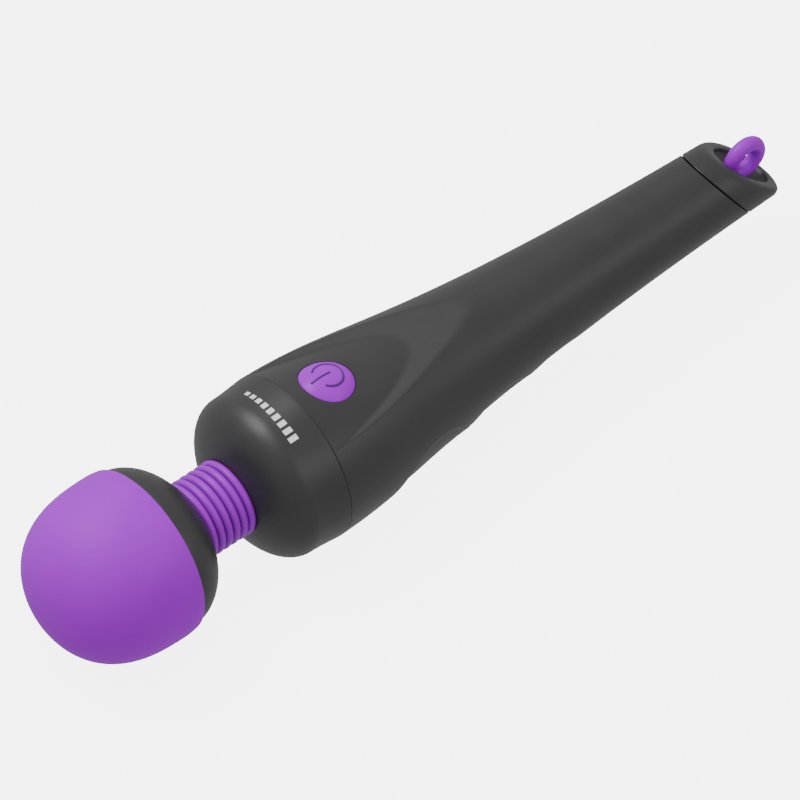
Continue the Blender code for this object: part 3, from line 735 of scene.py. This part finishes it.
def make_handle():
    """Outside in rows of points round the axis, chamfered rims, and an inside a wall below."""
    turns = math.tau * (np.arange(HANDLE_SIDES) + 0.5) / HANDLE_SIDES
    turns = turns - TOP_CROWDING * np.sin(turns)
    tail_end = np.full(HANDLE_SIDES, CAP_SEAM)
    for _ in range(3):
        tail_end = oblique_end(handle_radius(tail_end), turns)
    straight = np.concatenate([
        np.linspace(HANDLE_START, FINE_END, 330), np.linspace(FINE_END, TILT_START, 40)[1:],
    ])
    shares = np.linspace(0, 1, 41)[1:, None]
    stations = np.vstack([
        np.tile(straight[:, None], (1, HANDLE_SIDES)), TILT_START + (tail_end - TILT_START) * shares,
    ])
    stations = np.vstack([
        stations[:1], stations[:1] + RIM, stations[1:-1], stations[-1:] - RIM, stations[-1:],
    ])
    reach = handle_surface(stations, turns)
    reach[[0, -1]] -= RIM
    inner_rows = np.linspace(len(stations) - 1, 0, INNER_ROWS).astype(int)
    inner_stations = stations[inner_rows]
    inner_reach = np.maximum(reach[inner_rows] - WALL, BORE)
    inner_stations[0] = oblique_end(inner_reach[0], turns)
    stations = np.vstack([stations, inner_stations])
    reach = np.vstack([reach, inner_reach])
    points = np.stack(
        [TIP_X + stations, reach * np.sin(turns), AXIS_Z + reach * np.cos(turns)], axis=-1,
    ).reshape(-1, 3)
    row = np.arange(len(stations))[:, None]
    column = np.arange(HANDLE_SIDES)[None, :]
    next_row = (row + 1) % len(stations)
    next_column = (column + 1) % HANDLE_SIDES
    faces = np.stack([
        row * HANDLE_SIDES + column, next_row * HANDLE_SIDES + column,
        next_row * HANDLE_SIDES + next_column, row * HANDLE_SIDES + next_column,
    ], axis=-1).reshape(-1, 4)
    handle = from_points("handle_skin", points.tolist(), faces.tolist(), black_plastic, 35)
    cut_with(handle, rod(BUTTON_RADIUS + BUTTON_CLEARANCE, 10 * MM, panel_frame(), 96))
    handle.data.shade_smooth()
    handle.data.set_sharp_from_angle(angle=math.radians(35))
    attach(handle, "handle")
    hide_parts("handle_shell")


# ---------------------------------------------------------------- button

DOME_HEIGHT = 1.9 * MM
DOME_EDGE = -0.12 * MM
BUTTON_SIDES = 96
# Below the dome, (radius, height): the skirt, the flange that holds it in, and the stem
BUTTON_UNDERSIDE = (
    (BUTTON_RADIUS, -0.3 * MM), (BUTTON_RADIUS, -3.3 * MM), (7.1 * MM, -3.35 * MM),
    (7.1 * MM, -3.8 * MM), (1.6 * MM, -3.8 * MM), (1.6 * MM, -4.1 * MM), (0.0, -4.1 * MM),
)
PANEL_FOLLOWED = -1 * MM  # heights above this follow the panel's rounded surface
SIGN_RADIUS = 3.4 * MM
SIGN_STROKE = 0.3 * MM
SIGN_GAP = math.radians(42)
SIGN_SINK = 0.1 * MM
SIGN_LINE = -4.7 * MM, 5.2 * MM  # start and length


def dome_height(x, y):
    share = min(1.0, math.hypot(x, y) / BUTTON_RADIUS)
    return (DOME_HEIGHT - DOME_EDGE) * (1 - share ** 2.3) ** 0.85 + DOME_EDGE


def panel_sag(y):
    """How far the panel's rounded surface falls below its top line at the side."""
    return PANEL_RADIUS - math.sqrt(PANEL_RADIUS ** 2 - y * y)


def make_button():
    """Dome whose edge follows the panel's rounded surface, with what holds it below."""
    outline = [(0.0, DOME_HEIGHT)]
    for step in range(1, 29):
        reach = BUTTON_RADIUS * math.sin(math.pi / 2 * step / 28)
        outline.append((reach, dome_height(reach, 0)))
    shape = bmesh.new()
    rings = []
    for reach, height in (*outline, *BUTTON_UNDERSIDE):
        if reach == 0:
            rings.append([shape.verts.new((0, 0, height))])
            continue
        ring = []
        for step in range(BUTTON_SIDES):
            angle = math.tau * step / BUTTON_SIDES
            x, y = reach * math.cos(angle), reach * math.sin(angle)
            sag = panel_sag(y) if height > PANEL_FOLLOWED else 0
            ring.append(shape.verts.new((x, y, height - sag)))
        rings.append(ring)
    bridge(shape, rings)
    shape.transform(panel_frame())
    button = from_bmesh("button_dome", shape, purple_plastic)
    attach(button, "button")
    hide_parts("power_button")


def make_sign():
    """Power sign on the dome: an open circle and a short line in its gap, towards the head."""
    arc = []
    for step in range(49):
        angle = math.pi + SIGN_GAP + (math.tau - 2 * SIGN_GAP) * step / 48
        arc.append((SIGN_RADIUS * math.cos(angle), SIGN_RADIUS * math.sin(angle)))
    start, length = SIGN_LINE
    line = [(start + length * step / 16, 0.0) for step in range(17)]
    matrix = panel_frame()
    for number, stroke in enumerate((arc, line), 1):
        points = []
        for x, y in stroke:
            points.append(matrix @ Vector((x, y, dome_height(x, y) - panel_sag(y) - SIGN_SINK)))
        sign = tube(f"power_sign_{number}", points, SIGN_STROKE, purple_mark, 12)
        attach(sign, "button")


# ---------------------------------------------------------------- end cap and loop

TAIL_ROUNDING = 201.2 * MM
TAIL_END = 207.9 * MM
CAP_SIDES = 240
# (station, radius) points in mm: out of the spring's recess, along the collar and past its
# seal groove
COLLAR = (
    (190.1, 5.6), (182, 5.6), (181.6, 5.8), (181.6, 6.8), (181.8, 7),
    (183, 7), (183, 6.3), (184.8, 6.3), (184.8, 7),
)
CAP_CHAMFER = 0.28 * MM
# The dish in the slanted face, whose axes run down the face and across it
DISH_LENGTH = 9.2 * MM
DISH_WIDTH = 6.9 * MM
DISH_DEPTH = 2.8 * MM
DISH_OFFSET = -1.5 * MM
DISH_LIP = 0.11  # width of the dish's rounded edge, as a share of its radius
LIP_DROP = 0.19  # depth of that edge, as a share of the dish's
LIP_REACH = 2.0 * MM


def cap_radius(station):
    """The handle's taper, rounded off towards the tail."""
    share = np.clip((station - TAIL_ROUNDING) / (TAIL_END - TAIL_ROUNDING), 0, 0.98)
    return handle_radius(station) * (1 - share ** 2.2) ** (1 / 2.2)


def make_cap():
    """Rings of points from the recess, round the collar and the outside, to the dish's bottom."""
    angle = math.tau * (np.arange(CAP_SIDES) + 0.5) / CAP_SIDES
    cos, sin = np.cos(angle), np.sin(angle)

    def ring(station, radius):
        radius = radius + 0 * angle
        return np.stack([station + 0 * angle, radius * sin, radius * cos], axis=-1)

    def oblique(radius, back=0.0):
        return ring(CAP_SEAM + GAP / 3 + back - radius * cos * math.tan(SEAM_TILT), radius)

    rings = [ring(station * MM, radius * MM) for station, radius in COLLAR]
    outer = handle_radius(oblique(handle_radius(CAP_SEAM))[:, 0])
    edge = CAP_CHAMFER
    rings += [oblique(COLLAR[-1][1] * MM), oblique(outer - edge)]
    rings += [oblique(outer - edge * 0.35, edge * 0.35), oblique(outer, edge)]

    # The corner between the side and the face is where the face's plane crosses the taper
    corner = CAP_FACE - cap_radius(CAP_FACE - 8 * MM * cos) * cos
    for _ in range(12):
        corner = 0.5 * corner + 0.5 * (CAP_FACE - cap_radius(corner) * cos)
    start = rings[-1][:, 0]
    side_end = corner - LIP_REACH
    for share in np.linspace(0, 1, 42)[1:]:
        station = start + (side_end - start) * share
        rings.append(ring(station, cap_radius(station)))

    tip = ring(corner, cap_radius(corner))
    down = np.array([1, 0, -1]) / math.sqrt(2)
    normal = np.array([1, 0, 1]) / math.sqrt(2)
    centre = np.array([CAP_FACE, 0, 0]) + down * DISH_OFFSET
    spread = tip - centre
    turn = np.arctan2(spread[:, 1] / DISH_WIDTH, (spread @ down) / DISH_LENGTH)

    def dish(scale, depth):
        return (
            centre + np.outer(np.cos(turn) * DISH_LENGTH * scale, down)
            + np.outer(np.sin(turn) * DISH_WIDTH * scale, (0, 1, 0)) - normal * depth
        )

    # The corner is rounded by a curve from the side, pulled to the corner, to the face
    rim = dish(1.0, 0.0)
    inward = rim - tip
    width = np.linalg.norm(inward, axis=1)[:, None]
    inward /= width
    before, after = rings[-1], tip + inward * np.minimum(LIP_REACH, width * 0.6)
    for share in np.linspace(0, 1, 11)[1:]:
        first = before * (1 - share) + tip * share
        second = tip * (1 - share) + after * share
        rings.append(first * (1 - share) + second * share)
    rings.append(rim + (after - rim) * 0.45)
    for share in np.linspace(0, 1, 8):
        bend = share * share
        rings.append(dish(1.0 - DISH_LIP * (2 * share - bend), DISH_DEPTH * LIP_DROP * bend))
    low = 1.0 - DISH_LIP
    for share in np.linspace(0, 1, 16)[1:-1]:
        scale = low * math.cos(share * math.pi / 2)
        fall = (1 - (scale / low) ** 2.4) ** (1 / 2.0)
        rings.append(dish(scale, DISH_DEPTH * (LIP_DROP + (1 - LIP_DROP) * fall)))

    recess = [[COLLAR[0][0] * MM, 0, 0]]
    bottom = [centre - normal * DISH_DEPTH]
    points = np.vstack([*rings, recess, bottom])
    points += (TIP_X, 0, AXIS_Z)
    faces = []
    for row in range(len(rings) - 1):
        for column in range(CAP_SIDES):
            after = (column + 1) % CAP_SIDES
            first, second = row * CAP_SIDES, (row + 1) * CAP_SIDES
            faces.append((first + column, first + after, second + after, second + column))
    last = (len(rings) - 1) * CAP_SIDES
    pole = len(points) - 2
    for column in range(CAP_SIDES):
        after = (column + 1) % CAP_SIDES
        faces.append((pole, after, column))
        faces.append((last + column, last + after, pole + 1))
    cap = from_points("end_cap_skin", points.tolist(), faces, black_plastic, 50)
    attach(cap, "cap")
    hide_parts("end_cap")


def loop_line():
    """Centre line of the ring in its own plane: two half circles joined by short sides."""
    points = []
    for step in range(49):
        angle = math.pi * (1 - step / 48)
        points.append((LOOP_RADIUS * math.cos(angle), 0, LOOP_ARCH + LOOP_RADIUS * math.sin(angle)))
    for step in range(1, 6):
        points.append((LOOP_RADIUS, 0, LOOP_ARCH + (LOOP_FOOT - LOOP_ARCH) * step / 6))
    for step in range(49):
        angle = -math.pi * step / 48
        points.append((LOOP_RADIUS * math.cos(angle), 0, LOOP_FOOT + LOOP_RADIUS * math.sin(angle)))
    for step in range(1, 6):
        points.append((-LOOP_RADIUS, 0, LOOP_FOOT + (LOOP_ARCH - LOOP_FOOT) * step / 6))
    return [Vector(point) for point in points]


def make_loop():
    points = loop_line()
    matrix = tilted_plane(CAP_FACE, FACE_TILT) @ Matrix.Translation((LOOP_OFFSET, 0, 0))
    shape = bmesh.new()
    rings = []
    for index, here in enumerate(points):
        along = (points[(index + 1) % len(points)] - points[index - 1]).normalized()
        outward = along.cross(Vector((0, 1, 0)))
        ring = []
        for step in range(LOOP_SIDES):
            angle = math.tau * step / LOOP_SIDES
            offset = outward * math.cos(angle) + Vector((0, math.sin(angle), 0))
            ring.append(shape.verts.new(matrix @ (here + offset * LOOP_TUBE)))
        rings.append(ring)
    bridge(shape, rings + rings[:1])
    loop = from_bmesh("loop_skin", shape, purple_plastic)
    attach(loop, "cap")
    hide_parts("hanging_loop")


# ---------------------------------------------------------------- carried CAD nodes

FOIL = (0.6, 0.6, 0.6)
SLEEVE_COPPER = (0.55, 0.25, 0.08)
SLEEVE_BLACK = (0.02, 0.02, 0.02)


def cell_sleeve(name):
    low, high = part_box(name)
    edges = (low.x, low.x + 1.2 * MM, low.x + 16 * MM, high.x - 0.6 * MM, high.x)
    return banded(name + "_sleeve", (FOIL, SLEEVE_COPPER, SLEEVE_BLACK, FOIL), edges, 0.28, 0.7)


def paint_carried():
    """The CAD pieces inside take a paint by their name or their material slot."""
    cells = {name: cell_sleeve(name) for name in ("cell_front", "cell_rear")}
    paints = {
        "white_nylon": nylon, "black_plastic": black_plastic, "steel": steel, "brass": brass,
        "aluminium": aluminium, "copper": copper, "magnet": ferrite, "board_laminate": laminate,
        "red_insulation": red_wire, "black_insulation": rubber,
    }
    for part in frame["record"]["subparts"]:
        node = frame["nodes"][part["node"]]
        paint = cells.get(part["node"]) or paints.get(part["material_slot"], purple_plastic)
        node.data.materials.clear()
        node.data.materials.append(paint)


# ---------------------------------------------------------------- stage, light and camera

FLOOR_DROP = 0.5 * MM
FLOOR_GLOW = 5
WORLD_STRENGTH = 0.56
LIGHT_TARGET = (0, 0, 0.02)

VIEW_AZIMUTH = math.radians(-40.1)
VIEW_ELEVATION = math.radians(49.75)
VIEW_WIDTH = 174.9 * MM
LENS = 1400.0
SENSOR = 36.0


def make_stage():
    """Floor that glows, so that it is nearly white. It neither lights the wand nor shows in it."""
    shape = bmesh.new()
    matrix = Matrix.Translation((0, 0, -FLOOR_DROP))
    bmesh.ops.create_grid(shape, x_segments=8, y_segments=8, size=3, matrix=matrix)
    floor_paint = moulded(
        "floor_paint", (0.86, 0.86, 0.86), 0.8, scales=(40, 3), spread=0.01, bump=0.02,
        Emission_Color=(1, 1, 1, 1), Emission_Strength=FLOOR_GLOW,
    )
    floor = from_bmesh("floor", shape, floor_paint)
    floor.visible_diffuse = False
    floor.visible_glossy = False


def area_light(name, location, size, power):
    data = bpy.data.lights.new(name, "AREA")
    data.shape = "RECTANGLE"
    data.size, data.size_y = size
    data.energy = power
    item = bpy.data.objects.new(name, data)
    bpy.context.scene.collection.objects.link(item)
    item.location = location
    item.rotation_euler = (Vector(LIGHT_TARGET) - item.location).to_track_quat("-Z", "Y").to_euler()


def make_lights():
    world = bpy.data.worlds.new("studio")
    world.use_nodes = True
    background = world.node_tree.nodes["Background"]
    background.inputs["Color"].default_value = (1, 1, 1, 1)
    background.inputs["Strength"].default_value = WORLD_STRENGTH
    bpy.context.scene.world = world
    area_light("key", (-0.25, 0.35, 0.75), (0.5, 0.5), 5.0)
    area_light("fill", (0.3, -0.7, 0.5), (0.6, 0.4), 1)
    area_light("top", (0.12, 0.45, 0.85), (0.35, 0.35), 0.8)


def make_camera():
    """Long lens at the photo's angle, far enough back for the wand to fill the frame."""
    data = bpy.data.cameras.new("camera")
    data.lens = LENS
    data.sensor_width = SENSOR
    data.clip_end = 50
    camera = bpy.data.objects.new("camera", data)
    bpy.context.scene.collection.objects.link(camera)
    target = place(101.1 * MM, 0.35 * MM, -5.0 * MM)
    back = Vector((
        math.sin(VIEW_AZIMUTH) * math.cos(VIEW_ELEVATION),
        -math.cos(VIEW_AZIMUTH) * math.cos(VIEW_ELEVATION),
        math.sin(VIEW_ELEVATION),
    ))
    camera.location = target + back * (VIEW_WIDTH * LENS / SENSOR)
    camera.rotation_euler = (-back).to_track_quat("-Z", "Y").to_euler()
    bpy.context.scene.camera = camera


make_camera()
make_lights()
make_stage()
paint_carried()
make_head()
make_bellows()
bend_inner("neck_spring", steel)
bend_inner("motor_lead_red", red_wire)
bend_inner("motor_lead_black", black_wire)
make_nose()
make_mark()
make_handle()
make_button()
make_sign()
make_cap()
make_loop()
